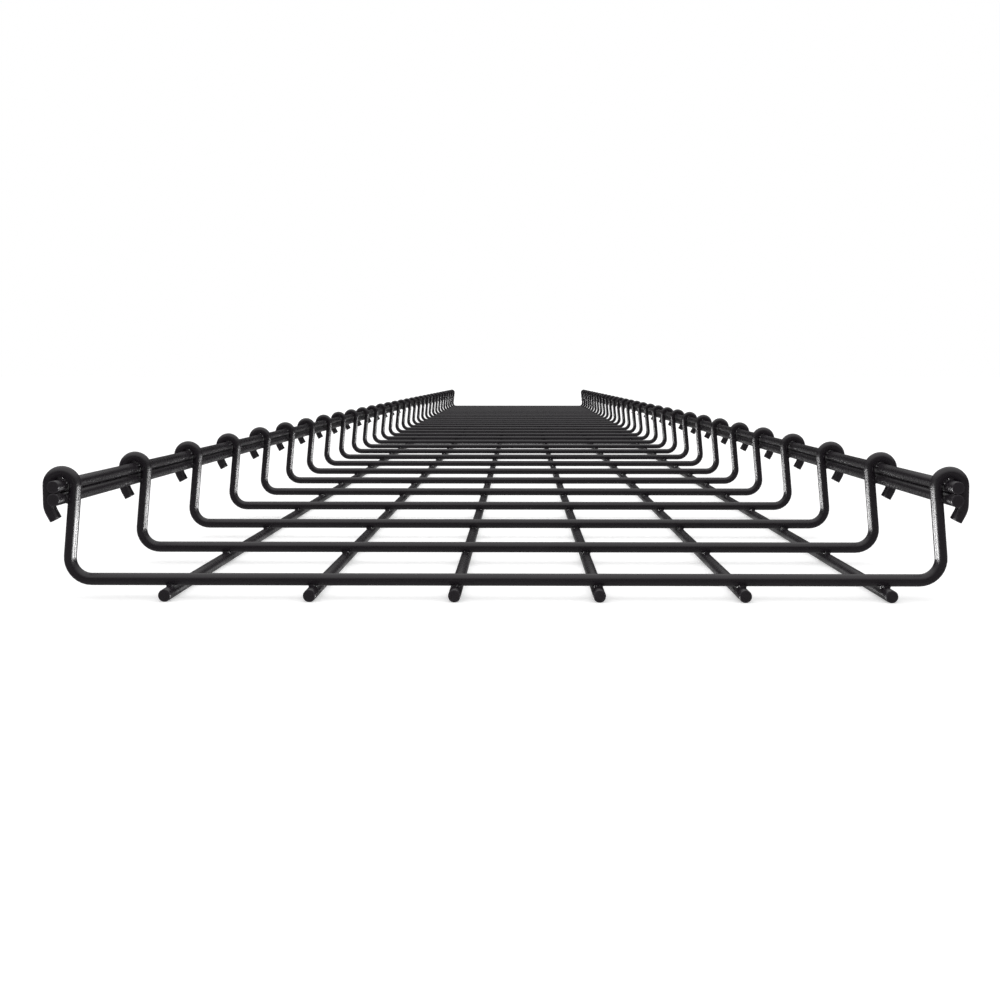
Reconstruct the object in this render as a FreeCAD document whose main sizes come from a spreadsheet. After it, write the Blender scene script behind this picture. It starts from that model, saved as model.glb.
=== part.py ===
import FreeCAD, Part
import math
import os
import Sketcher

# Wire mesh cable basket: bent cross wires over straight floor wires, two rail wires in each row of hooks.
# X runs across the basket, Y along it and Z up; the origin is on the floor, midway along and across.

# Name, value in millimetres, degrees or pieces, and what it measures
SIZES = [
    ("wire_diameter", 4.4, "every wire"),
    ("inside_width", 300, "between the walls of a cross wire, where they are furthest apart"),
    ("wall_height", 42, "underside of a cross wire to the top of its hooks"),
    ("wall_lean", 5.5, "lean of the walls towards the middle"),
    ("corner_radius", 7.5, "bend between floor and wall, on the centre line"),
    ("rail_clearance", 0.03, "between the rails and the legs of the hooks"),
    ("hook_drop", 6.2, "straight outer leg of a hook, below its bend"),
    ("tip_radius", 7, "bend towards the tip of a hook, on the centre line"),
    ("tip_angle", 28, "turn of that bend"),
    ("tip_length", 2.9, "straight end of a hook"),
    ("cross_pitch", 100, "spacing of the cross wires"),
    ("cross_count", 31, "cross wires in one length"),
    ("floor_pitch", 50, "spacing of the floor wires"),
    ("floor_count", 6, "floor wires"),
    ("floor_offset", 8, "middle of the floor wires, to the right of the basket's middle"),
    ("wire_overhang", 10, "straight wires beyond the centre of the last cross wire"),
]

# The real cross wire is round and bends smoothly: here it has flats, and each bend is a row of equal folds
WIRE_SIDES = 8
CORNER_FOLDS = 4
HOOK_FOLDS = 6
TIP_FOLDS = 2

# Turns of the three bends and of one fold in each
LEAN = "(sizes.wall_lean * 1 deg)"
CORNER_FOLD = f"((90 deg + {LEAN}) / {CORNER_FOLDS})"
HOOK_FOLD = f"((180 deg + {LEAN}) / {HOOK_FOLDS})"
TIP_FOLD = f"(sizes.tip_angle * 1 deg / {TIP_FOLDS})"

# The bend of a hook takes the rails and leaves room for the leaning wall beside the lower one
RAIL_SHIFT = f"(sizes.wire_diameter * tan({LEAN} / 2))"
HOOK_RADIUS = f"(sizes.wire_diameter + {RAIL_SHIFT} + sizes.rail_clearance)"
HOOK_RISE = f"(sizes.wall_height - sizes.wire_diameter - {HOOK_RADIUS})"
HALF_BAR = "(sizes.inside_width / 2 + sizes.wire_diameter / 2 - sizes.corner_radius)"
WALL_RUN = (
    f"(({HOOK_RISE} - {HOOK_RADIUS} * sin({LEAN}) - sizes.corner_radius * (1 + sin({LEAN}))) / cos({LEAN}))"
)
HOOK_REACH = f"({HALF_BAR} + (sizes.corner_radius + {HOOK_RADIUS}) * cos({LEAN}) - {WALL_RUN} * sin({LEAN}))"

# A fold's lines touch the bend's true arc, so each ends this far past its point of contact
CORNER_REST = f"sizes.corner_radius * tan({CORNER_FOLD} / 2)"
HOOK_REST = f"{HOOK_RADIUS} * tan({HOOK_FOLD} / 2)"
TIP_REST = f"sizes.tip_radius * tan({TIP_FOLD} / 2)"

BAR_LEVEL = "1.5 * sizes.wire_diameter"
RAIL_LEVEL = f"{BAR_LEVEL} + {HOOK_RISE}"
RAIL_PLACE = f"({HOOK_REACH} + {RAIL_SHIFT})"
STRAIGHT_LENGTH = "(sizes.cross_count - 1) * sizes.cross_pitch + 2 * sizes.wire_overhang"


def make_sheet(doc):
    """The driving dimensions, one row each."""
    sheet = doc.addObject("Spreadsheet::Sheet", "sizes")
    for row, (alias, value, meaning) in enumerate(SIZES, start=1):
        sheet.set(f"A{row}", alias)
        sheet.set(f"B{row}", str(value))
        sheet.set(f"C{row}", meaning)
        sheet.setAlias(f"B{row}", alias)
    doc.recompute()
    return sheet


def worth(sheet, formula):
    """What a formula comes to with the sheet's values."""
    result = sheet.evalExpression(formula)
    return getattr(result, "Value", result)


def make_body(doc, name):
    """An empty body whose name and label are the sub-part's name."""
    body = doc.addObject("PartDesign::Body", name)
    body.Label = name
    return body


def origin_plane(body, role):
    """One of the body's own origin planes."""
    return next(plane for plane in body.Origin.OriginFeatures if plane.Role == role)


def make_sketch(body, suffix, role):
    """A sketch on one of the body's own origin planes."""
    sketch = body.newObject("Sketcher::SketchObject", f"{body.Name}_{suffix}")
    sketch.AttachmentSupport = [(origin_plane(body, role), "")]
    sketch.MapMode = "FlatFace"
    return sketch


def polar(centre, radius, degrees):
    """The point of a sketch at a distance and an angle from another."""
    angle = math.radians(degrees)
    return centre + FreeCAD.Vector(radius * math.cos(angle), radius * math.sin(angle), 0)


def bind_size(sketch, name, formula, *constraint):
    """A dimension of a sketch that follows the sheet."""
    index = sketch.addConstraint(Sketcher.Constraint(*constraint))
    sketch.renameConstraint(index, name)
    sketch.setExpression(f"Constraints.{name}", formula)


def folds(name, count, start, turn, rest):
    """The short lines between the folds of a bend: name, direction and length of each."""
    return [(f"{name}_{step}", f"{start} + {step} * {turn}", f"2 * {rest}") for step in range(1, count)]


def half_wire_lines():
    """Lines from the middle of the floor bar to a hook's tip: name, direction from the X axis and length."""
    wall = f"90 deg + {LEAN}"
    return [
        ("bar", "0 deg", f"{HALF_BAR} + {CORNER_REST}"),
        *folds("corner", CORNER_FOLDS, "0 deg", CORNER_FOLD, CORNER_REST),
        ("wall", wall, f"{CORNER_REST} + {WALL_RUN} + {HOOK_REST}"),
        *folds("hook", HOOK_FOLDS, wall, f"(-{HOOK_FOLD})", HOOK_REST),
        ("leg", "-90 deg", f"{HOOK_REST} + sizes.hook_drop + {TIP_REST}"),
        *folds("curl", TIP_FOLDS, "-90 deg", f"(-{TIP_FOLD})", TIP_REST),
        ("tip", "-90 deg - sizes.tip_angle * 1 deg", f"{TIP_REST} + sizes.tip_length"),
    ]


def draw_half_path(sketch, sheet):
    """Centre line of half a cross wire, each line held by its direction and length."""
    start = FreeCAD.Vector(0, 0, 0)
    previous = None
    for name, direction, length in half_wire_lines():
        angle = worth(sheet, direction)
        run = worth(sheet, length)
        end = polar(start, run, angle)
        line = sketch.addGeometry(Part.LineSegment(start, end))
        if previous is None:
            sketch.addConstraint(Sketcher.Constraint("Coincident", line, 1, -1, 1))
            sketch.addConstraint(Sketcher.Constraint("Horizontal", line))
        else:
            sketch.addConstraint(Sketcher.Constraint("Coincident", previous, 2, line, 1))
            bind_size(sketch, f"{name}_direction", direction, "Angle", line, math.radians(angle))
        bind_size(sketch, f"{name}_length", length, "Distance", line, run)
        start = end
        previous = line


def draw_flat_sided_section(sketch, sheet):
    """Regular polygon as wide across its flats as the wire is thick, with flats on top and underneath."""
    radius = sheet.wire_diameter / 2 / math.cos(math.pi / WIRE_SIDES)
    centre = FreeCAD.Vector(0, 0, 0)
    step = 360 / WIRE_SIDES
    corners = [polar(centre, radius, (side + 0.5) * step) for side in range(WIRE_SIDES)]
    rim = sketch.addGeometry(Part.Circle(centre, FreeCAD.Vector(0, 0, 1), radius), True)
    flats = [
        sketch.addGeometry(Part.LineSegment(corners[side - 1], corners[side])) for side in range(WIRE_SIDES)
    ]
    for side, flat in enumerate(flats):
        sketch.addConstraint(Sketcher.Constraint("Coincident", flats[side - 1], 2, flat, 1))
        sketch.addConstraint(Sketcher.Constraint("PointOnObject", flat, 1, rim))
    for flat in flats[1:]:
        sketch.addConstraint(Sketcher.Constraint("Equal", flats[0], flat))
    sketch.addConstraint(Sketcher.Constraint("Coincident", rim, 3, -1, 1))
    sketch.addConstraint(Sketcher.Constraint("Vertical", flats[0]))
    formula = f"sizes.wire_diameter / 2 / cos(180 deg / {WIRE_SIDES})"
    bind_size(sketch, "corner_distance", formula, "Radius", rim, radius)


def make_cross_wire(doc, sheet, name, index):
    """One bent wire: half of it swept along its centre line, then mirrored at the middle of the floor bar."""
    body = make_body(doc, name)
    path = make_sketch(body, "path", "XZ_Plane")
    draw_half_path(path, sheet)
    section = make_sketch(body, "section", "YZ_Plane")
    draw_flat_sided_section(section, sheet)
    half = body.newObject("PartDesign::AdditivePipe", f"{name}_half")
    half.Profile = section
    half.Spine = (path, [])
    half.Transition = "Right corner"
    whole = body.newObject("PartDesign::Mirrored", f"{name}_whole")
    whole.Originals = [half]
    whole.MirrorPlane = (origin_plane(body, "YZ_Plane"), [""])
    body.Tip = whole
    body.setExpression(".Placement.Base.y", f"({index} - (sizes.cross_count - 1) / 2) * sizes.cross_pitch")
    body.setExpression(".Placement.Base.z", BAR_LEVEL)
    return body


def make_straight_wire(doc, sheet, name, across, level):
    """One wire along the whole basket, round, with its ends cut square."""
    body = make_body(doc, name)
    section = make_sketch(body, "section", "XZ_Plane")
    circle = Part.Circle(FreeCAD.Vector(0, 0, 0), FreeCAD.Vector(0, 0, 1), sheet.wire_diameter / 2)
    rim = section.addGeometry(circle)
    section.addConstraint(Sketcher.Constraint("Coincident", rim, 3, -1, 1))
    bind_size(section, "wire", "sizes.wire_diameter", "Diameter", rim, sheet.wire_diameter)
    pad = body.newObject("PartDesign::Pad", f"{name}_pad")
    pad.Profile = section
    pad.Midplane = True
    pad.setExpression("Length", STRAIGHT_LENGTH)
    body.setExpression(".Placement.Base.x", across)
    body.setExpression(".Placement.Base.z", level)
    return body


def make_basket(doc, sheet):
    """All the wires of one length of basket."""
    wires = []
    for index in range(int(sheet.cross_count)):
        wires.append(make_cross_wire(doc, sheet, f"cross_wire_{index + 1:02d}", index))
    for index in range(int(sheet.floor_count)):
        across = f"({index} - (sizes.floor_count - 1) / 2) * sizes.floor_pitch + sizes.floor_offset"
        level = "sizes.wire_diameter / 2"
        wires.append(make_straight_wire(doc, sheet, f"floor_wire_{index + 1}", across, level))
    for side, sign in (("left", "-1"), ("right", "1")):
        across = f"{sign} * {RAIL_PLACE}"
        lower_level = f"{RAIL_LEVEL} - sizes.wire_diameter"
        wires.append(make_straight_wire(doc, sheet, f"{side}_upper_rail", across, RAIL_LEVEL))
        wires.append(make_straight_wire(doc, sheet, f"{side}_lower_rail", across, lower_level))
    return wires


def check_document(doc, wires):
    """Stop at the first failed object, unsolved sketch or faulty solid."""
    for item in doc.Objects:
        if "Invalid" in item.State or "Error" in item.State:
            raise RuntimeError(f"{item.Label} failed: {item.State}")
        if item.isDerivedFrom("Sketcher::SketchObject") and item.solve() != 0:
            raise RuntimeError(f"{item.Label} can't be solved")
    for wire in wires:
        if wire.Shape.isNull() or not wire.Shape.isValid() or len(wire.Shape.Solids) != 1:
            raise RuntimeError(f"{wire.Label} isn't one valid solid")


def main():
    """Build the basket and write each wire to its own file."""
    doc = FreeCAD.newDocument("cable_basket")
    sheet = make_sheet(doc)
    wires = make_basket(doc, sheet)
    doc.recompute()
    check_document(doc, wires)
    os.makedirs("parts", exist_ok=True)
    for wire in wires:
        wire.Shape.exportStep(f"parts/{wire.Label}.step")
        print(f"{wire.Label}: {wire.Shape.Volume:.1f} mm3")


main()
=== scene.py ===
"""Looks of the wire mesh cable basket: round, smoothly bent and welded wires under a black powder coat.

Sizes are in millimetres and become metres where a mesh, a pattern, a lamp or a camera is made. X runs
across the basket, Y along it towards its far end, and Z up.
"""

import logging
import math
from collections.abc import Iterable
from dataclasses import dataclass, field
from enum import Enum

import bpy
import numpy as np
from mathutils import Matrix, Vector


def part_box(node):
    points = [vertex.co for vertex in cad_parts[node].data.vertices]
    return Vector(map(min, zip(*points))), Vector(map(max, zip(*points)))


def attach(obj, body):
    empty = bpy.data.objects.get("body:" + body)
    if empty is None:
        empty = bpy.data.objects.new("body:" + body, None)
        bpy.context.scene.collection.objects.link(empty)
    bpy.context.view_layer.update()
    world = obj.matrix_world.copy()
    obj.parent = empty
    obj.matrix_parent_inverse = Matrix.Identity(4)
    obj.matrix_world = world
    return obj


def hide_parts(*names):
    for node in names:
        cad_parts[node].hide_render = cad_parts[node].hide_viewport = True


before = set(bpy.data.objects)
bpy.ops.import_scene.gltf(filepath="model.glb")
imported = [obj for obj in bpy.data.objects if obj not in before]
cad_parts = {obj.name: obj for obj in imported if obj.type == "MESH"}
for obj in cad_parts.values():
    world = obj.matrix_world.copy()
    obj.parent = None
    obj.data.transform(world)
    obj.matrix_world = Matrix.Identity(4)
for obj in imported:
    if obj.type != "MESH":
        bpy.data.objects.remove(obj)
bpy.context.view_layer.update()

MM = 0.001
THIN_FILM = "thin_film"
WHITE = (1.0, 1.0, 1.0, 1.0)

log = logging.getLogger("cable_basket")


class Side(Enum):
    """The two walls of the basket, each with its direction along X."""

    LEFT = -1
    RIGHT = 1


def linear(colour: str) -> tuple[float, float, float, float]:
    """Turn an sRGB hex colour into linear values.

    Each value above the dark toe is ((value + 0.055) / 1.055) to the power 2.4, and each one in it is
    value / 12.92.

    Args:
        colour: Six hex digits after a hash sign.

    Returns:
        Red, green, blue and an alpha of 1.
    """
    values = np.array([int(colour[place : place + 2], 16) for place in (1, 3, 5)]) / 255
    curve = ((values + 0.055) / 1.055) ** 2.4
    red, green, blue = np.where(values > 0.04045, curve, values / 12.92).tolist()
    return red, green, blue, 1.0


def blank_material(name: str) -> bpy.types.Material:
    """Make a material whose node tree is still empty."""
    material = bpy.data.materials.new(name)
    material.use_nodes = True
    material.node_tree.nodes.clear()
    return material


def add_node(
    tree: bpy.types.NodeTree, kind: str, inputs: dict | None = None, **settings: object
) -> bpy.types.Node:
    """Add a node with its settings and links.

    Args:
        tree: Node tree that gets the node.
        kind: Blender's type name of the node.
        inputs: For an input's name or number, a value or the output that feeds it.
        settings: Values of the node's own properties.

    Returns:
        The new node.
    """
    node = tree.nodes.new(kind)
    for name, value in settings.items():
        setattr(node, name, value)
    for name, value in (inputs or {}).items():
        if isinstance(value, bpy.types.NodeSocket):
            tree.links.new(value, node.inputs[name])
        else:
            node.inputs[name].default_value = value
    return node


def mixed(
    tree: bpy.types.NodeTree, kind: str, share: object, first: object, second: object
) -> bpy.types.NodeSocket:
    """Mix two numbers or two colours.

    Args:
        tree: Node tree that gets the mix.
        kind: FLOAT for numbers and RGBA for colours.
        share: The second one's share, as a value or an output.
        first: Value or output that has the rest.
        second: Value or output that takes over as its share grows.

    Returns:
        The output with the mix.
    """
    # A mix node's sockets share their names, so the inputs and the output of each kind are taken by number
    one, other, output = {"FLOAT": (2, 3, 0), "RGBA": (6, 7, 2)}[kind]
    inputs = {0: share, one: first, other: second}
    return add_node(tree, "ShaderNodeMix", inputs, data_type=kind).outputs[output]


@dataclass(frozen=True)
class PowderCoat:
    """Satin black polyester powder, sprayed dry on steel wire and melted into one closed film.

    To the eye it is a near-black, slightly violet skin with a soft gloss. The melt leaves it faintly wavy,
    the orange peel, which breaks up the edges of its highlights, and it draws back from cut edges, which
    look greyer. Cloud, peel and grain are the sizes of its three noise patterns, and noise_range is where
    most values of a noise lie.
    """

    colour: str = "#1C181C"
    clouded: str = "#211D22"
    drawn_back: str = "#29252A"
    roughness: float = 0.28
    roughness_swing: float = 0.03
    cloud: float = 16.0
    peel: float = 1.4
    grain: float = 0.4
    peel_height: float = 0.003
    grain_share: float = 0.2
    noise_range: tuple[float, float] = (0.3, 0.7)

    def noise(
        self, tree: bpy.types.NodeTree, place: bpy.types.NodeSocket, size: float, detail: float
    ) -> bpy.types.NodeSocket:
        """Add a noise of a real size.

        Noise of scale 1 varies over a metre, so its scale is one over the pattern's size in metres.
        """
        inputs = {"Vector": place, "Scale": 1 / (size * MM), "Detail": detail}
        return add_node(tree, "ShaderNodeTexNoise", inputs).outputs["Fac"]

    def gloss(self, tree: bpy.types.NodeTree, peel: bpy.types.NodeSocket) -> bpy.types.NodeSocket:
        """Let the roughness follow the orange peel, a little to either side of its mean."""
        lowest, highest = self.noise_range
        swing = add_node(
            tree,
            "ShaderNodeMapRange",
            {
                "Value": peel,
                "From Min": lowest,
                "From Max": highest,
                "To Min": self.roughness - self.roughness_swing,
                "To Max": self.roughness + self.roughness_swing,
            },
        )
        return swing.outputs["Result"]

    def relief(
        self, tree: bpy.types.NodeTree, peel: bpy.types.NodeSocket, grain: bpy.types.NodeSocket
    ) -> bpy.types.NodeSocket:
        """Bend the normal with the orange peel and a share of the grain."""
        height = add_node(
            tree, "ShaderNodeMath", {0: grain, 1: self.grain_share, 2: peel}, operation="MULTIPLY_ADD"
        )
        bump = {"Strength": 1.0, "Distance": self.peel_height * MM, "Height": height.outputs["Value"]}
        return add_node(tree, "ShaderNodeBump", bump).outputs["Normal"]

    def make(self) -> bpy.types.Material:
        """Make the material, which reads Object coordinates and the wires' film attribute."""
        material = blank_material("powder_coat_satin_black")
        tree = material.node_tree
        place = add_node(tree, "ShaderNodeTexCoord").outputs["Object"]
        cloud = self.noise(tree, place, self.cloud, detail=2.0)
        peel = self.noise(tree, place, self.peel, detail=1.0)
        # Powder grains of 0.05 mm are finer than a pixel of the render, so grain is eight times that size
        grain = self.noise(tree, place, self.grain, detail=0.0)
        film = add_node(tree, "ShaderNodeAttribute", attribute_name=THIN_FILM).outputs["Fac"]
        skin = mixed(tree, "RGBA", cloud, linear(self.colour), linear(self.clouded))
        shader = add_node(
            tree,
            "ShaderNodeBsdfPrincipled",
            {
                "Base Color": mixed(tree, "RGBA", film, skin, linear(self.drawn_back)),
                "Roughness": self.gloss(tree, peel),
                "IOR": 1.5,
                "Specular IOR Level": 0.5,
                "Normal": self.relief(tree, peel, grain),
            },
        )
        add_node(tree, "ShaderNodeOutputMaterial", {"Surface": shader.outputs["BSDF"]})
        return material


@dataclass(frozen=True)
class StudioPaper:
    """Matt white paper of a studio floor: pale and without gloss.

    To the camera it glows with part of the white, so it reads as plain white and keeps only soft shadows.
    """

    colour: str = "#EEEEEE"
    own_light: float = 0.4

    def make(self) -> bpy.types.Material:
        """Make the material, whose own light shows only to the camera."""
        material = blank_material("studio_paper_white")
        tree = material.node_tree
        seen = add_node(tree, "ShaderNodeLightPath").outputs["Is Camera Ray"]
        glow = add_node(tree, "ShaderNodeMath", {0: seen, 1: self.own_light}, operation="MULTIPLY")
        light = {"Color": WHITE, "Strength": glow.outputs["Value"]}
        white = add_node(tree, "ShaderNodeEmission", light).outputs["Emission"]
        matt = add_node(tree, "ShaderNodeBsdfDiffuse", {"Color": linear(self.colour)}).outputs["BSDF"]
        both = add_node(tree, "ShaderNodeAddShader", {0: matt, 1: white})
        add_node(tree, "ShaderNodeOutputMaterial", {"Surface": both.outputs["Shader"]})
        return material


@dataclass(frozen=True)
class GreyCard:
    """Matt grey card, which the gloss above it sees as an even grey."""

    light: float = 0.25

    def make(self) -> bpy.types.Material:
        """Make the material, with the light that such a card would send up."""
        material = blank_material("matt_grey_card")
        tree = material.node_tree
        grey = add_node(tree, "ShaderNodeEmission", {"Color": WHITE, "Strength": self.light})
        add_node(tree, "ShaderNodeOutputMaterial", {"Surface": grey.outputs["Emission"]})
        return material


def tube_faces(rows: int, columns: int) -> np.ndarray:
    """Number the quads of a grid whose rows are closed rings.

    Args:
        rows: Rings along the tube.
        columns: Points in each ring.

    Returns:
        Four point numbers for each quad, in the order that makes it face outwards.
    """
    row = np.arange(rows - 1)[:, None] * columns
    column = np.arange(columns)[None, :]
    following = (column + 1) % columns
    corners = [row + column, row + following, row + columns + following, row + columns + column]
    grid = (rows - 1, columns)
    return np.stack([np.broadcast_to(corner, grid) for corner in corners], axis=-1).reshape(-1, 4)


def end_faces(rows: int, columns: int) -> np.ndarray:
    """Number the triangles that close both ends of such a tube.

    They meet in the middle of each end. The two middles are numbered after the tube's own points, the first
    ring's before the last one's.

    Args:
        rows: Rings along the tube.
        columns: Points in each ring.

    Returns:
        Three point numbers for each triangle, in the order that makes it face outwards.
    """
    column = np.arange(columns)
    following = (column + 1) % columns
    middle = rows * columns
    last_ring = middle - columns
    first_end = np.stack([np.full(columns, middle), following, column], axis=1)
    last_end = np.stack([np.full(columns, middle + 1), last_ring + column, last_ring + following], axis=1)
    return np.concatenate([first_end, last_end])


@dataclass
class Skin:
    """Points and faces of closed surfaces, before they become one mesh.

    For each point, thin says how thin its film is, from 0 for a full coat to 1 for the edge of a cut.
    """

    points: np.ndarray
    quads: np.ndarray
    triangles: np.ndarray
    thin: np.ndarray

    @classmethod
    def joined(cls, skins: Iterable["Skin"]) -> "Skin":
        """Put several skins in one, each one's point numbers raised by the number of points before it."""
        parts = list(skins)
        starts = np.cumsum([0] + [len(part.points) for part in parts[:-1]])
        return cls(
            np.concatenate([part.points for part in parts]),
            np.concatenate([part.quads + start for part, start in zip(parts, starts)]),
            np.concatenate([part.triangles + start for part, start in zip(parts, starts)]),
            np.concatenate([part.thin for part in parts]),
        )

    def piece(self, name: str, material: bpy.types.Material) -> bpy.types.Object:
        """Make the mesh and its object, which stays at the origin.

        Args:
            name: Name of the object and of its mesh.
            material: Finish of every face.

        Returns:
            The object, smoothly shaded.
        """
        mesh = bpy.data.meshes.new(name)
        mesh.from_pydata((self.points * MM).tolist(), [], self.quads.tolist() + self.triangles.tolist())
        mesh.polygons.foreach_set("use_smooth", np.ones(len(mesh.polygons), bool))
        film = mesh.attributes.new(THIN_FILM, "FLOAT", "POINT")
        film.data.foreach_set("value", self.thin.astype(np.float32))
        mesh.materials.append(material)
        mesh.update()
        made = bpy.data.objects.new(name, mesh)
        bpy.context.scene.collection.objects.link(made)
        return made


@dataclass
class RoundWire:
    """A round wire: a section carried along a centre line, with both ends cut square and slightly rounded.

    Each cut has one more ring inside its rounded edge, at flat_share of its radius, which keeps the cut
    flat to the eye under smooth shading.
    """

    diameter: float = 4.4
    sides: int = 20
    cut_rounding: float = 0.18
    cut_rings: int = 3
    flat_share: float = 0.75

    @property
    def radius(self) -> float:
        """Half the diameter."""
        return self.diameter / 2

    def skin(self, centres: np.ndarray, headings: np.ndarray, across: np.ndarray) -> Skin:
        """Carry the section along a centre line that lies in one plane.

        A point is the centre plus the radius times (cosine of the angle times the side direction, plus sine
        of the angle times the plane's normal), where the side direction is the heading turned by a right
        angle in the plane. At a cut, the radius shrinks along a quarter of a circle, whose own radius is
        the cut's rounding.

        Args:
            centres: Points of the centre line, one row each.
            headings: Unit direction of the wire at each point.
            across: Unit normal of the plane.

        Returns:
            A closed skin, thin in its film at the rounded edges of the cuts.
        """
        turn = np.linspace(0, math.pi / 2, self.cut_rings)
        inset = self.cut_rounding * (1 - np.cos(turn))
        rounded = self.radius - self.cut_rounding * (1 - np.sin(turn))
        flat = self.flat_share * (self.radius - self.cut_rounding)
        head = centres[0] + headings[0] * inset[:, None]
        tail = centres[-1] - headings[-1] * inset[::-1, None]
        line = np.concatenate([centres[:1], head, centres[1:-1], tail, centres[-1:]])
        first_headings = np.repeat(headings[:1], self.cut_rings + 1, axis=0)
        last_headings = np.repeat(headings[-1:], self.cut_rings + 1, axis=0)
        toward = np.concatenate([first_headings, headings[1:-1], last_headings])
        between = np.ones(len(centres) - 2)
        reach = np.concatenate([[flat], rounded, self.radius * between, rounded[::-1], [flat]])
        edge = np.concatenate([[0.0], np.cos(turn), 0 * between, np.cos(turn)[::-1], [0.0]])
        angle = np.linspace(0, 2 * math.pi, self.sides, endpoint=False)
        side = np.cross(across, toward)
        ring = np.cos(angle)[None, :, None] * side[:, None, :] + np.sin(angle)[None, :, None] * across
        points = line[:, None, :] + reach[:, None, None] * ring
        return Skin(
            np.concatenate([points.reshape(-1, 3), centres[:1], centres[-1:]]),
            tube_faces(len(line), self.sides),
            end_faces(len(line), self.sides),
            np.concatenate([np.repeat(edge, self.sides), [0.0, 0.0]]),
        )


@dataclass
class SpotWeld:
    """The saddle of metal that a spot weld squeezes out between two wires that cross.

    Reach is its radius at the two rims, which are sunk a little into the wires, and waist is the share by
    which it is narrower between them. Welds differ in size by the share unevenness, and each one bulges by
    that share on two opposite sides, which are turned at random by up to half of lobe_turn, in radians.
    """

    wire: RoundWire
    reach: float = 1.85
    waist: float = 0.14
    sunk: float = 0.06
    unevenness: float = 0.07
    lobe_turn: float = 6.0
    rings: int = 4
    columns: int = 10

    def skin(
        self,
        lower: np.ndarray,
        normal: np.ndarray,
        along_upper: np.ndarray,
        apart: np.ndarray,
        chance: np.random.Generator,
    ) -> Skin:
        """Build one saddle for each contact.

        A point of a saddle stands at a distance from the contact's normal that is the reach, less the
        waist's share times the sine of pi times the height's share. Its height runs on half a cosine wave
        from the lower wire's skin, the root of (radius squared less the squared distance across that wire),
        up to the upper wire's skin.

        Args:
            lower: A point on the lower wire's centre line under each contact, one row each.
            normal: Unit direction from the lower wire to the upper one.
            along_upper: Unit direction of the upper wire.
            apart: Distance between the two centre lines.
            chance: Source of the small differences between welds.

        Returns:
            The closed saddles, whose rims and lids lie inside the wires.
        """
        count = len(lower)
        along_lower = np.cross(normal, along_upper)
        angle = np.linspace(0, 2 * math.pi, self.columns, endpoint=False)
        share = np.linspace(0, 1, self.rings)[:, None]
        size = 1 + self.unevenness * chance.uniform(-1, 1, (count, 1, 1))
        first_lobe = chance.uniform(0, self.lobe_turn, (count, 1, 1))
        rim = self.reach * size * (1 + self.unevenness * np.cos(2 * angle + first_lobe))
        out = rim * (1 - self.waist * np.sin(math.pi * share))
        radius = self.wire.radius
        low = np.sqrt(radius**2 - (rim * np.cos(angle)) ** 2) - self.sunk
        high = apart[:, None, None] - np.sqrt(radius**2 - (rim * np.sin(angle)) ** 2) + self.sunk
        height = low + (high - low) * (1 - np.cos(math.pi * share)) / 2
        points = (
            lower[:, None, None, :]
            + (out * np.cos(angle))[..., None] * along_upper[:, None, None, :]
            + (out * np.sin(angle))[..., None] * along_lower[:, None, None, :]
            + height[..., None] * normal[:, None, None, :]
        )
        lids = points[:, [0, -1]].mean(axis=2)
        every = np.concatenate([points.reshape(count, -1, 3), lids], axis=1)
        starts = np.arange(count)[:, None, None] * every.shape[1]
        return Skin(
            every.reshape(-1, 3),
            (tube_faces(self.rings, self.columns) + starts).reshape(-1, 4),
            (end_faces(self.rings, self.columns) + starts).reshape(-1, 3),
            np.zeros(every.shape[0] * every.shape[1]),
        )


def node_box(node: str) -> tuple[np.ndarray, np.ndarray]:
    """Lowest and highest corner of a CAD node's box."""
    low, high = (np.array(corner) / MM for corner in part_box(node))
    return low, high


def node_middle(node: str) -> np.ndarray:
    """Middle of a CAD node's box."""
    low, high = node_box(node)
    return (low + high) / 2


def placed(piece: bpy.types.Object, node: str) -> bpy.types.Object:
    """Tie a piece to the basket's one body, in the stead of a CAD node."""
    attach(piece, "root")
    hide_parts(node)
    return piece


@dataclass
class StraightWire:
    """A floor wire or a rail wire, which runs the whole length of the basket."""

    wire: RoundWire
    stations: int = 32

    def build(self, name: str, node: str, coat: bpy.types.Material) -> bpy.types.Object:
        """Make the wire where its CAD node is, and hide the node.

        Args:
            name: Name of the piece.
            node: CAD node that the piece stands for.
            coat: Finish of the wire.

        Returns:
            The piece, which rides on the basket.
        """
        low, high = node_box(node)
        centres = np.tile(node_middle(node), (self.stations, 1))
        centres[:, 1] = np.linspace(low[1], high[1], self.stations)
        headings = np.tile([0.0, 1.0, 0.0], (self.stations, 1))
        skin = self.wire.skin(centres, headings, np.array([0.0, 0.0, 1.0]))
        return placed(skin.piece(name, coat), node)


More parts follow.
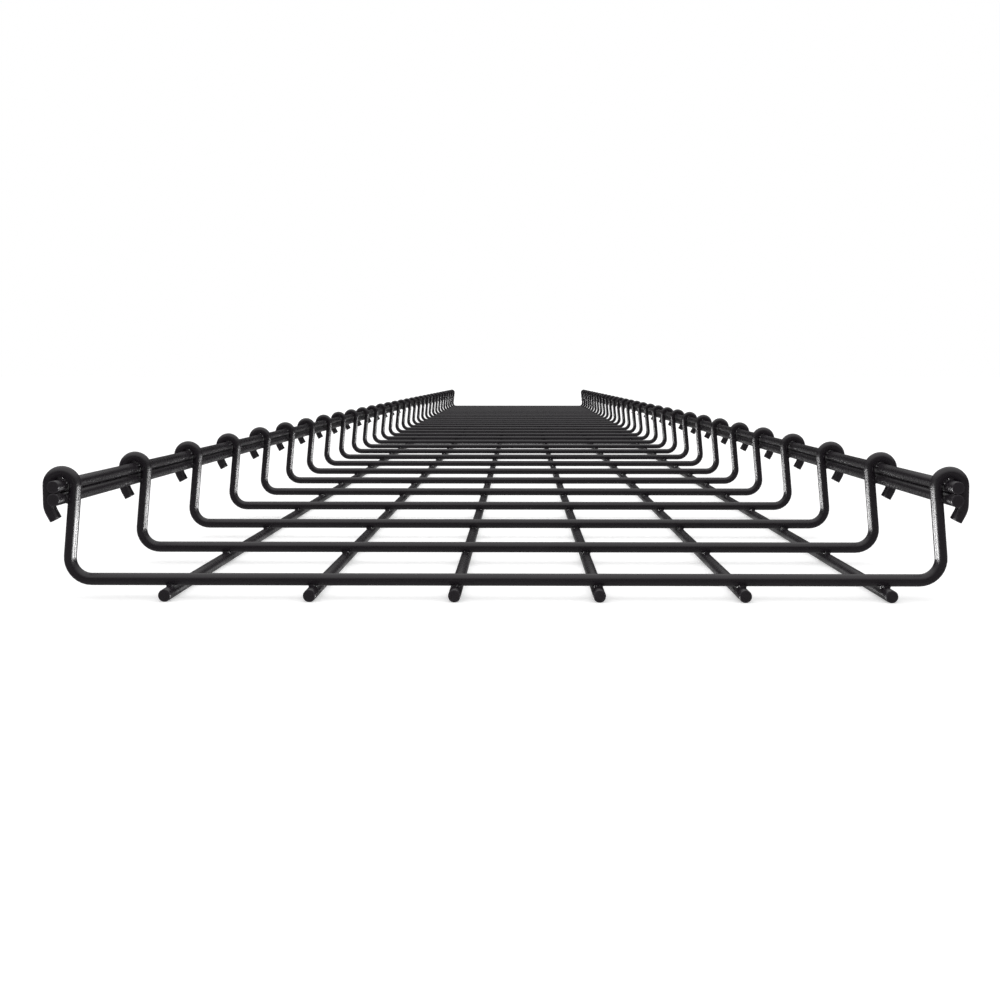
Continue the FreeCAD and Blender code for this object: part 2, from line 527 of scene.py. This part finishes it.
@dataclass
class CrossWire:
    """A wire bent to a trough: floor bar, two leaning walls, and a hook round the rails at the top of each.

    The radii of its bends are those of its centre line, and its angles are in degrees. The crown welds are
    on the hook's bend, at angles from the direction that leads outwards.
    """

    wire: RoundWire
    weld: SpotWeld
    inside_width: float = 300.0
    wall_height: float = 42.0
    wall_lean: float = 5.5
    corner_radius: float = 7.5
    rail_clearance: float = 0.03
    hook_drop: float = 6.2
    tip_radius: float = 7.0
    tip_angle: float = 28.0
    tip_length: float = 2.9
    crown_welds: tuple[float, ...] = (85.0, 135.0)
    bar_steps: int = 3
    corner_steps: int = 9
    wall_steps: int = 2
    hook_steps: int = 22
    tip_steps: int = 5

    @property
    def lean(self) -> float:
        """Lean of a wall, in radians."""
        return math.radians(self.wall_lean)

    @property
    def rail_shift(self) -> float:
        """How far the leaning wall pushes the rails outwards, one wire's thickness lower down."""
        return self.wire.diameter * math.tan(self.lean / 2)

    @property
    def hook_radius(self) -> float:
        """Radius of the hook's bend."""
        return self.wire.diameter + self.rail_shift + self.rail_clearance

    @property
    def bar_level(self) -> float:
        """Height of the floor bar's centre line: a floor wire's thickness and half its own."""
        return 1.5 * self.wire.diameter

    @property
    def hook_rise(self) -> float:
        """Height of the hook's centre above the floor bar's centre line."""
        return self.wall_height - self.wire.diameter - self.hook_radius

    @property
    def half_bar(self) -> float:
        """Straight part of the floor bar, from its middle to a corner."""
        return self.inside_width / 2 + self.wire.diameter / 2 - self.corner_radius

    @property
    def wall_run(self) -> float:
        """Straight part of a wall: the height left between the two bends, over the cosine of the lean."""
        corner_rise = self.corner_radius * (1 + math.sin(self.lean))
        left = self.hook_rise - self.hook_radius * math.sin(self.lean) - corner_rise
        return left / math.cos(self.lean)

    def runs(self) -> list[tuple[float, float, int]]:
        """List the straight and bent runs from the middle of the floor bar to a hook's tip.

        Returns:
            Length, turn in radians, anticlockwise above zero, and number of steps of each run.
        """
        corner = math.pi / 2 + self.lean
        hook = math.pi + self.lean
        tip = math.radians(self.tip_angle)
        return [
            (self.half_bar, 0.0, self.bar_steps),
            (self.corner_radius * corner, corner, self.corner_steps),
            (self.wall_run, 0.0, self.wall_steps),
            (self.hook_radius * hook, -hook, self.hook_steps),
            (self.hook_drop, 0.0, 1),
            (self.tip_radius * tip, -tip, self.tip_steps),
            (self.tip_length, 0.0, 1),
        ]

    def half_line(self) -> tuple[np.ndarray, np.ndarray]:
        """Work out the centre line of the right half.

        Each run goes on from the last one's end. On a bend of radius R, a point is the bend's start plus R
        times (the sine of the heading less the sine of the first heading, and the first cosine less the
        heading's cosine), with R below zero where it turns clockwise.

        Returns:
            Points across and up, and the heading at each, in radians from the X axis.
        """
        spots, headings = [np.zeros((1, 2))], [np.zeros(1)]
        for length, turn, steps in self.runs():
            start, first = spots[-1][-1], headings[-1][-1]
            share = np.arange(1, steps + 1) / steps
            heading = first + turn * share
            if turn:
                radius = length / turn
                across = np.sin(heading) - math.sin(first)
                up = math.cos(first) - np.cos(heading)
                step = radius * np.stack([across, up], axis=1)
            else:
                step = length * share[:, None] * np.array([math.cos(first), math.sin(first)])
            spots.append(start + step)
            headings.append(heading)
        return np.concatenate(spots), np.concatenate(headings)

    def line(self) -> tuple[np.ndarray, np.ndarray]:
        """Mirror the half line, so that the centre line runs from the left hook's tip to the right one's.

        Returns:
            Points and unit headings in three dimensions, at Y of zero.
        """
        half, heading = self.half_line()
        across = np.concatenate([-half[:0:-1, 0], half[:, 0]])
        up = self.bar_level + np.concatenate([half[:0:-1, 1], half[:, 1]])
        angle = np.concatenate([-heading[:0:-1], heading])
        level = np.zeros_like(across)
        points = np.stack([across, level, up], axis=1)
        return points, np.stack([np.cos(angle), level, np.sin(angle)], axis=1)

    def floor_welds(self, floor_at: np.ndarray, chance: np.random.Generator) -> Skin:
        """Build the welds between the floor bar and the floor wires.

        Args:
            floor_at: Place of each floor wire along X.
            chance: Source of the small differences between welds.

        Returns:
            The welds at Y of zero.
        """
        count = len(floor_at)
        lower = np.stack([floor_at, np.zeros(count), np.full(count, self.wire.radius)], axis=1)
        up = np.tile([0.0, 0.0, 1.0], (count, 1))
        right = np.tile([1.0, 0.0, 0.0], (count, 1))
        return self.weld.skin(lower, up, right, np.full(count, self.bar_level - self.wire.radius), chance)

    def rail_contacts(self, upper: np.ndarray, lower: np.ndarray) -> list[tuple[np.ndarray, ...]]:
        """List where the right hook is welded to its rails.

        Both rails are welded to the hook's outer leg, the upper one also to the hook's bend, and the lower
        one to the wall. A spot on the bend is the bend's centre plus its radius times (the cosine and the
        sine of the spot's angle), and the wire's direction there is taken at a right angle to the line from
        the rail. The foot of the lower rail on the wall is the bend's start plus the wall's direction times
        the rail's distance along it.

        Args:
            upper: Place of the upper rail, across and up.
            lower: Place of the lower rail.

        Returns:
            For each weld, the place of the rail, the spot on the hook's centre line that it is welded to,
            and the direction of the wire there.
        """
        wall = np.array([-math.sin(self.lean), math.cos(self.lean)])
        level = self.bar_level + self.hook_rise
        start = np.array([self.half_bar + self.corner_radius * math.cos(self.lean), level])
        start += [wall[0] * self.wall_run, -self.hook_radius * math.sin(self.lean)]
        bend = np.array([start[0] + self.hook_radius * math.cos(self.lean), level])
        outer = bend[0] + self.hook_radius
        contacts = [(rail, np.array([outer, rail[1]]), np.array([0.0, 1.0])) for rail in (upper, lower)]
        for angle in np.radians(self.crown_welds):
            spot = bend + self.hook_radius * np.array([math.cos(angle), math.sin(angle)])
            away = (spot - upper) / np.linalg.norm(spot - upper)
            contacts.append((upper, spot, np.array([-away[1], away[0]])))
        foot = start + wall * ((lower - start) @ wall)
        contacts.append((lower, foot, wall))
        return contacts

    def rail_welds(self, rails: dict[Side, np.ndarray], chance: np.random.Generator) -> Skin:
        """Build the welds that hold the rails in the hooks, where the left side mirrors the right one.

        Args:
            rails: For each side, the two rails' places across and up, the upper rail first.
            chance: Source of the small differences between welds.

        Returns:
            The welds at Y of zero.
        """
        places, normals, headings, apart = [], [], [], []
        for side, pair in rails.items():
            mirror = np.array([side.value, 1])
            upper, lower = pair * mirror
            for rail, spot, heading in self.rail_contacts(upper, lower):
                distance = float(np.linalg.norm(spot - rail))
                places.append(rail * mirror)
                normals.append((spot - rail) / distance * mirror)
                headings.append(heading * mirror)
                apart.append(distance)
        # All of them lie in the cross wire's plane, so a Y of zero goes between across and up
        solid = [np.insert(flat, 1, 0.0, axis=1) for flat in (places, normals, headings)]
        return self.weld.skin(*solid, np.array(apart), chance)

    def build(
        self,
        name: str,
        node: str,
        floor_at: np.ndarray,
        rails: dict[Side, np.ndarray],
        coat: bpy.types.Material,
        seed: int,
    ) -> bpy.types.Object:
        """Make the bent wire with its welds where its CAD node is, and hide the node.

        Args:
            name: Name of the piece.
            node: CAD node that the piece stands for.
            floor_at: Place of each floor wire along X.
            rails: For each side, the two rails' places across and up, the upper rail first.
            coat: Finish of the wire.
            seed: Makes this wire's welds differ from the next one's.

        Returns:
            The piece, which rides on the basket.
        """
        chance = np.random.default_rng(seed)
        centres, headings = self.line()
        wire = self.wire.skin(centres, headings, np.array([0.0, 1.0, 0.0]))
        skin = Skin.joined([wire, self.floor_welds(floor_at, chance), self.rail_welds(rails, chance)])
        skin.points[:, 1] += node_middle(node)[1]
        return placed(skin.piece(name, coat), node)


@dataclass
class Basket:
    """One length of basket: cross wires, floor wires, and a pair of rails along each row of hooks.

    Bent is the wire of the cross wires, and straight is that of the floor wires and the rails.
    """

    coat: PowderCoat = field(default_factory=PowderCoat)
    bent: RoundWire = field(default_factory=RoundWire)
    straight: RoundWire = field(default_factory=lambda: RoundWire(sides=24))

    def middles(self, start: str) -> np.ndarray:
        """Middles of the CAD nodes whose names start alike, one row each, in the order of their names."""
        return np.array([node_middle(node) for node in sorted(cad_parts) if node.startswith(start)])

    def bars_at(self) -> np.ndarray:
        """Place of each cross wire along Y."""
        return self.middles("cross_wire_")[:, 1]

    def rails(self) -> dict[Side, np.ndarray]:
        """Place of the two rails of each side, across and up, the upper rail first."""
        rails = {}
        for side in Side:
            pair = [f"{side.name.lower()}_{level}_rail" for level in ("upper", "lower")]
            rails[side] = np.array([node_middle(node)[[0, 2]] for node in pair])
        return rails

    def build(self) -> list[bpy.types.Object]:
        """Make every wire and report each one.

        Returns:
            The pieces, in the order of the CAD nodes' names.
        """
        coat = self.coat.make()
        cross = CrossWire(self.bent, SpotWeld(self.bent))
        straight = StraightWire(self.straight)
        floor_at = self.middles("floor_wire_")[:, 0]
        rails = self.rails()
        pieces = []
        for seed, node in enumerate(sorted(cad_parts)):
            name = f"coated_{node}"
            if node.startswith("cross_wire_"):
                piece = cross.build(name, node, floor_at, rails, coat, seed)
            else:
                piece = straight.build(name, node, coat)
            pieces.append(piece)
            log.info("%s: %d faces", piece.name, len(piece.data.polygons))
        return pieces


def level_sheets(
    name: str,
    half_size: tuple[float, float],
    along: np.ndarray,
    level: float,
    material: bpy.types.Material,
) -> bpy.types.Object:
    """Make level rectangles of the studio, all in one mesh.

    Args:
        name: Name of the object and of its mesh.
        half_size: Half of a rectangle's size across the basket and along it.
        along: Place of each rectangle's middle along Y.
        level: Height of all of them.
        material: Finish of all of them.

    Returns:
        The object, which isn't part of the basket.
    """
    points = np.zeros((len(along), 4, 3))
    points[..., :2] = np.array([(-1, -1), (1, -1), (1, 1), (-1, 1)]) * half_size
    points[..., 1] += along[:, None]
    points[..., 2] = level
    faces = np.arange(4 * len(along)).reshape(-1, 4)
    mesh = bpy.data.meshes.new(name)
    mesh.from_pydata((points.reshape(-1, 3) * MM).tolist(), [], faces.tolist())
    mesh.materials.append(material)
    made = bpy.data.objects.new(name, mesh)
    bpy.context.scene.collection.objects.link(made)
    return made


@dataclass
class StripLamp:
    """A strip light with a grid, on one side of the basket's middle line.

    It shows as a streak along the inner side of the far wall's legs. Those look down a little, so it lies
    just below the paper, which the gloss doesn't see. Its grid narrows its light to grid_spread degrees.
    """

    side: Side
    away: float = 100.0
    middle: tuple[float, float] = (-200.0, -70.0)
    size: tuple[float, float] = (4000.0, 100.0)
    watts: float = 24.0
    grid_spread: float = 98.0

    def build(self) -> bpy.types.Object:
        """Make the lamp, which lights the gloss only, so that it doesn't brighten the paper."""
        name = f"{self.side.name.lower()}_strip_softbox"
        data = bpy.data.lights.new(name, "AREA")
        data.shape = "RECTANGLE"
        data.size, data.size_y = (length * MM for length in self.size)
        data.energy = self.watts
        data.spread = math.radians(self.grid_spread)
        lamp = bpy.data.objects.new(name, data)
        bpy.context.scene.collection.objects.link(lamp)
        lamp.location = Vector((self.side.value * self.away, *self.middle)) * MM
        lamp.rotation_euler = Vector((-self.side.value, 0.0, 0.0)).to_track_quat("-Z", "Y").to_euler()
        lamp.visible_camera = lamp.visible_diffuse = False
        return lamp


@dataclass
class LampCards:
    """Cards just under the paper, one below each floor bar, which hide the strip lights from it.

    Without them, a bar seen from beside the basket shows the lights along its whole length, and looks
    broken.
    """

    card: GreyCard = field(default_factory=GreyCard)
    half_size: tuple[float, float] = (150.0, 11.0)
    level: float = -1.0

    def build(self, bars_at: np.ndarray) -> bpy.types.Object:
        """Make the cards, which only the gloss and the lamps' shadows show.

        Args:
            bars_at: Place of each floor bar along Y.

        Returns:
            All cards as one object.
        """
        cards = level_sheets("lamp_cards", self.half_size, bars_at, self.level, self.card.make())
        cards.visible_camera = cards.visible_diffuse = False
        return cards


@dataclass
class Studio:
    """White paper floor, a plain white room and two strip lights that only the gloss shows."""

    paper: StudioPaper = field(default_factory=StudioPaper)
    floor_reach: float = 60000.0
    even_light: float = 0.9
    gloss_light: tuple[tuple[float, float], ...] = (
        (-1.0, 0.4),
        (-0.85, 0.22),
        (-0.6, 0.12),
        (-0.1, 0.15),
        (-0.02, 0.22),
        (0.02, 0.02),
        (0.25, 0.02),
        (0.8, 1.15),
        (1.0, 1.15),
    )

    def floor(self) -> bpy.types.Object:
        """Make the floor, a flat sheet under the basket.

        The wires' gloss doesn't show it, and it casts no shadow, so the strip lights below it shine through.
        """
        half_size = (self.floor_reach, self.floor_reach)
        sheet = level_sheets("studio_floor", half_size, np.zeros(1), 0.0, self.paper.make())
        sheet.visible_glossy = sheet.visible_shadow = False
        return sheet

    def gloss(self, tree: bpy.types.NodeTree) -> bpy.types.NodeSocket:
        """Add what the gloss sees: a dim floor, dark walls and a bright ceiling.

        Each pair of gloss_light is a ray's upward share, from -1 straight down to 1 straight up, and the
        light from there, which runs evenly from one pair to the next.
        """
        where = add_node(tree, "ShaderNodeTexCoord").outputs["Generated"]
        upward_share = add_node(tree, "ShaderNodeSeparateXYZ", {"Vector": where}).outputs["Z"]
        whole = {"Value": upward_share, "From Min": -1.0, "From Max": 1.0}
        place = add_node(tree, "ShaderNodeMapRange", whole).outputs["Result"]
        ramp = add_node(tree, "ShaderNodeValToRGB", {"Fac": place})
        steps = ramp.color_ramp.elements
        # A new ramp has two steps, and the added ones wait in its middle until each step gets its place
        for _ in self.gloss_light[2:]:
            steps.new(0.5)
        for step, (upward, light) in zip(steps, self.gloss_light):
            step.position = (upward + 1) / 2
            step.color = (light, light, light, 1.0)
        return ramp.outputs["Color"]

    def room(self) -> bpy.types.World:
        """Make the world: white to the camera and through clear things, and even for matt surfaces."""
        world = bpy.data.worlds.new("studio_room")
        world.use_nodes = True
        tree = world.node_tree
        tree.nodes.clear()
        path = add_node(tree, "ShaderNodeLightPath").outputs
        lit = mixed(tree, "FLOAT", path["Is Glossy Ray"], self.even_light, self.gloss(tree))
        rays = {0: path["Is Camera Ray"], 1: path["Is Transmission Ray"]}
        seen = add_node(tree, "ShaderNodeMath", rays, operation="MAXIMUM").outputs["Value"]
        light = {"Color": WHITE, "Strength": mixed(tree, "FLOAT", seen, lit, 1.0)}
        background = add_node(tree, "ShaderNodeBackground", light).outputs["Background"]
        add_node(tree, "ShaderNodeOutputWorld", {"Surface": background})
        bpy.context.scene.world = world
        return world

    def build(self, bars_at: np.ndarray) -> None:
        """Make the floor, the room and the lamps.

        Args:
            bars_at: Place of each floor bar along Y, which a card keeps clear of the lamps.
        """
        self.floor()
        self.room()
        for side in Side:
            log.info("lamp: %s", StripLamp(side).build().name)
        log.info("cards: %s", LampCards().build(bars_at).name)


@dataclass
class Camera:
    """The photograph's viewpoint: low, in front of the near end and nearly on the basket's middle line.

    Pitch and yaw are in radians. The two distances of clip are the nearest and the farthest that it shows.
    """

    place: tuple[float, float, float] = (5.57, -2020.3, 77.6)
    pitch_down: float = 0.0825
    yaw_right: float = -0.0134
    focal_pixels: float = 1498.4
    image_pixels: float = 1000.0
    sensor: float = 36.0
    clip: tuple[float, float] = (10.0, 200000.0)

    def build(self) -> bpy.types.Object:
        """Make the camera and use it.

        The view direction is (sine of yaw times cosine of pitch, cosine of yaw times cosine of pitch, minus
        sine of pitch), and the lens is the focal length in pixels over the image's width, times the
        sensor's width.

        Returns:
            The scene's camera.
        """
        data = bpy.data.cameras.new("photo_camera")
        data.sensor_width = self.sensor
        data.lens = self.focal_pixels / self.image_pixels * self.sensor
        data.clip_start, data.clip_end = (distance * MM for distance in self.clip)
        camera = bpy.data.objects.new("photo_camera", data)
        bpy.context.scene.collection.objects.link(camera)
        level = math.cos(self.pitch_down)
        across, along = math.sin(self.yaw_right) * level, math.cos(self.yaw_right) * level
        view = Vector((across, along, -math.sin(self.pitch_down)))
        camera.location = Vector(self.place) * MM
        camera.rotation_euler = view.to_track_quat("-Z", "Y").to_euler()
        bpy.context.scene.camera = camera
        return camera


def main() -> None:
    """Build the camera, the basket and the studio, in that order."""
    logging.basicConfig(level=logging.INFO, format="%(name)s: %(message)s")
    scene = bpy.context.scene
    scene.unit_settings.system = "METRIC"
    scene.view_settings.view_transform = "Standard"
    Camera().build()
    basket = Basket()
    pieces = basket.build()
    Studio().build(basket.bars_at())
    bpy.context.view_layer.update()
    log.info("basket: %d wires", len(pieces))


if __name__ == "__main__":
    main()
